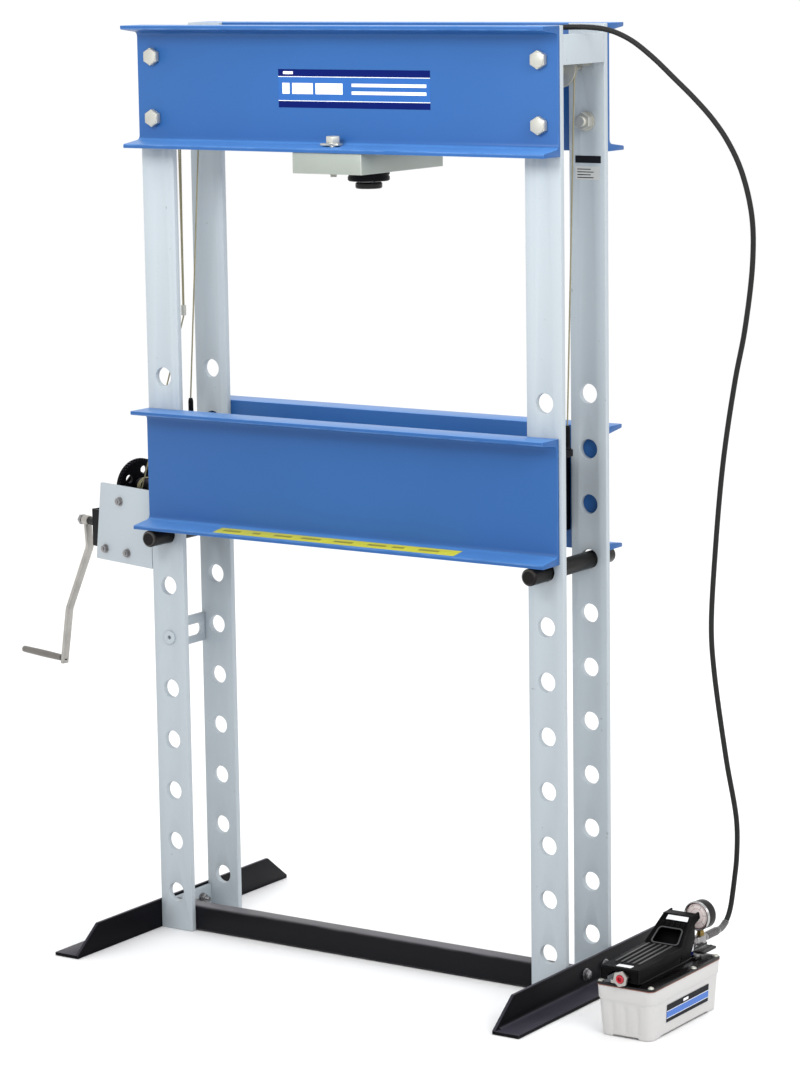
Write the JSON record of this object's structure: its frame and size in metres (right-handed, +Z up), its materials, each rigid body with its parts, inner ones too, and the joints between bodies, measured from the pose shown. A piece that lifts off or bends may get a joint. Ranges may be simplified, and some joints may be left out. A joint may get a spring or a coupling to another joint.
{
  "type": "hydraulic shop press",
  "caption": "Floor-standing H-frame hydraulic press with a fixed crosshead, winch-raised bolster on pins, side crank and a foot-operated pump joined by a hose.",
  "frame": {"origin": "on the floor, midway between the two uprights and midway between their front and rear bars", "axes": "+Z up, +X from the winch side to the pump side, -Y towards the front"},
  "size_m": [1.7281, 0.699, 1.7591],
  "materials": {
    "grey_paint": "satin",
    "blue_paint": "satin",
    "black_paint": "satin",
    "zinc": "satin",
    "bare_steel": "satin",
    "dark_steel": "satin",
    "chrome": "polished",
    "wire_rope": "satin",
    "reservoir_plastic": "satin",
    "treadle_plastic": "satin",
    "brass": "satin",
    "hose_rubber": "satin",
    "gauge_white": "gloss"
  },
  "bodies": {
    "frame": {"upright_front_left": "grey_paint", "upright_front_right": "grey_paint", "upright_rear_left": "grey_paint", "upright_rear_right": "grey_paint", "crosshead_front_channel": "blue_paint", "crosshead_rear_channel": "blue_paint", "crosshead_bolt_front_left_lower": "zinc", "crosshead_bolt_front_left_upper": "zinc", "crosshead_bolt_front_right_lower": "zinc", "crosshead_bolt_front_right_upper": "zinc", "crosshead_bolt_rear_left_lower": "zinc", "crosshead_bolt_rear_left_upper": "zinc", "crosshead_bolt_rear_right_lower": "zinc", "crosshead_bolt_rear_right_upper": "zinc", "top_strap_left": "grey_paint", "top_strap_right": "grey_paint", "guide_strap_left": "grey_paint", "guide_bushing": "zinc", "cylinder_plate": "bare_steel", "plate_clamp_front": "zinc", "plate_clamp_rear": "zinc", "cylinder_body": "blue_paint", "gland_ring": "dark_steel", "cylinder_fitting": "zinc", "base_plate_left": "grey_paint", "base_plate_right": "grey_paint", "cross_beam": "black_paint", "foot_left": "black_paint", "foot_right": "black_paint", "winch_plate": "grey_paint", "winch_frame": "black_paint", "hose": "hose_rubber", "cable_cross_run": "wire_rope", "cable_over_left": "wire_rope", "cable_left_drop": "wire_rope", "cable_right_drop": "wire_rope", "cable_tie_pair": "wire_rope", "cable_winch_strand": "wire_rope", "pump_reservoir": "reservoir_plastic", "pump_cover": "black_paint", "pump_body": "dark_steel", "air_inlet": "zinc", "hydraulic_outlet": "brass", "gauge_case": "gauge_white"},
    "bolster": {"bolster_front_channel": "blue_paint", "bolster_rear_channel": "blue_paint", "bolster_spacer_left": "black_paint", "bolster_spacer_right": "black_paint"},
    "ram": {"ram": "chrome"},
    "pin_left": {"bolster_pin_left": "black_paint"},
    "pin_right": {"bolster_pin_right": "black_paint"},
    "cable_ferrule": {"cable_ferrule": "dark_steel"},
    "winch_drum": {"winch_drum": "black_paint"},
    "winch_crank": {"winch_crank": "bare_steel"},
    "crank_grip": {"crank_grip": "bare_steel"},
    "sheave_left": {"sheave_left": "dark_steel"},
    "sheave_right": {"sheave_right": "dark_steel"},
    "treadle": {"pump_treadle": "treadle_plastic"},
    "release_lever": {"release_lever": "black_paint"},
    "gauge_needle": {"gauge_needle": "dark_steel"}
  },
  "joints": [
    {"name": "bolster_lift", "type": "slide", "parent": "frame", "child": "bolster", "axis": [0, 0, 1], "range_m": [0, 0.2032], "deforming": ["cable_left_drop", "cable_right_drop"]},
    {"name": "ferrule_travel", "type": "slide", "parent": "frame", "child": "cable_ferrule", "axis": [0, 0, -1], "range_m": [-0.001, 0.2042], "deforming": ["cable_tie_pair", "cable_winch_strand"]},
    {"name": "drum_turn", "type": "hinge", "parent": "frame", "child": "winch_drum", "pos_m": [-0.53325, 0.00424, 0.858], "axis": [0.9659, -0.2588, 0], "range_deg": [-1, 613.76]},
    {"name": "crank_turn", "type": "hinge", "parent": "frame", "child": "winch_crank", "pos_m": [-0.71229, 0.03151, 0.775], "axis": [0.9659, -0.2588, 0], "range_deg": [-1130.06, 2]},
    {"name": "grip_spin", "type": "hinge", "parent": "winch_crank", "child": "crank_grip", "pos_m": [-0.87264, 0.07448, 0.48], "axis": [0.9659, -0.2588, 0], "continuous": true},
    {"name": "sheave_left_turn", "type": "hinge", "parent": "frame", "child": "sheave_left", "pos_m": [-0.407, 0, 1.68], "axis": [0, 1, 0], "range_deg": [-402.47, 1]},
    {"name": "sheave_right_turn", "type": "hinge", "parent": "frame", "child": "sheave_right", "pos_m": [0.4117, 0, 1.68], "axis": [0, 1, 0], "range_deg": [-402.47, 1]},
    {"name": "ram_stroke", "type": "slide", "parent": "frame", "child": "ram", "axis": [0, 0, -1], "range_m": [0, 0.15], "stiffness_N_per_m": 1500, "springref_m": -0.05},
    {"name": "pin_left_pull", "type": "slide", "parent": "frame", "child": "pin_left", "axis": [0, -1, 0], "range_m": [0, 0.24]},
    {"name": "pin_right_pull", "type": "slide", "parent": "frame", "child": "pin_right", "axis": [0, -1, 0], "range_m": [0, 0.24]},
    {"name": "treadle_press", "type": "hinge", "parent": "frame", "child": "treadle", "pos_m": [0.671, -0.095, 0.11], "axis": [1, 0, 0], "range_deg": [0, 1.5], "stiffness_Nm_per_rad": 12, "springref_deg": -5.73},
    {"name": "release_press", "type": "hinge", "parent": "frame", "child": "release_lever", "pos_m": [0.708, -0.027, 0.106], "axis": [-1, 0, 0], "range_deg": [0, 4], "stiffness_Nm_per_rad": 3, "springref_deg": -8.59},
    {"name": "needle_turn", "type": "hinge", "parent": "frame", "child": "gauge_needle", "pos_m": [0.69, 0.012, 0.166], "axis": [0.1219, 0.9925, 0], "range_deg": [0, 270]}
  ],
  "couplings": [
    {"joint": "ferrule_travel", "follows": "bolster_lift", "ratio": 1},
    {"joint": "drum_turn", "follows": "bolster_lift", "rad_per_m": 52.632},
    {"joint": "crank_turn", "follows": "bolster_lift", "rad_per_m": -96.892},
    {"joint": "sheave_left_turn", "follows": "bolster_lift", "rad_per_m": -34.483},
    {"joint": "sheave_right_turn", "follows": "bolster_lift", "rad_per_m": -34.483}
  ]
}
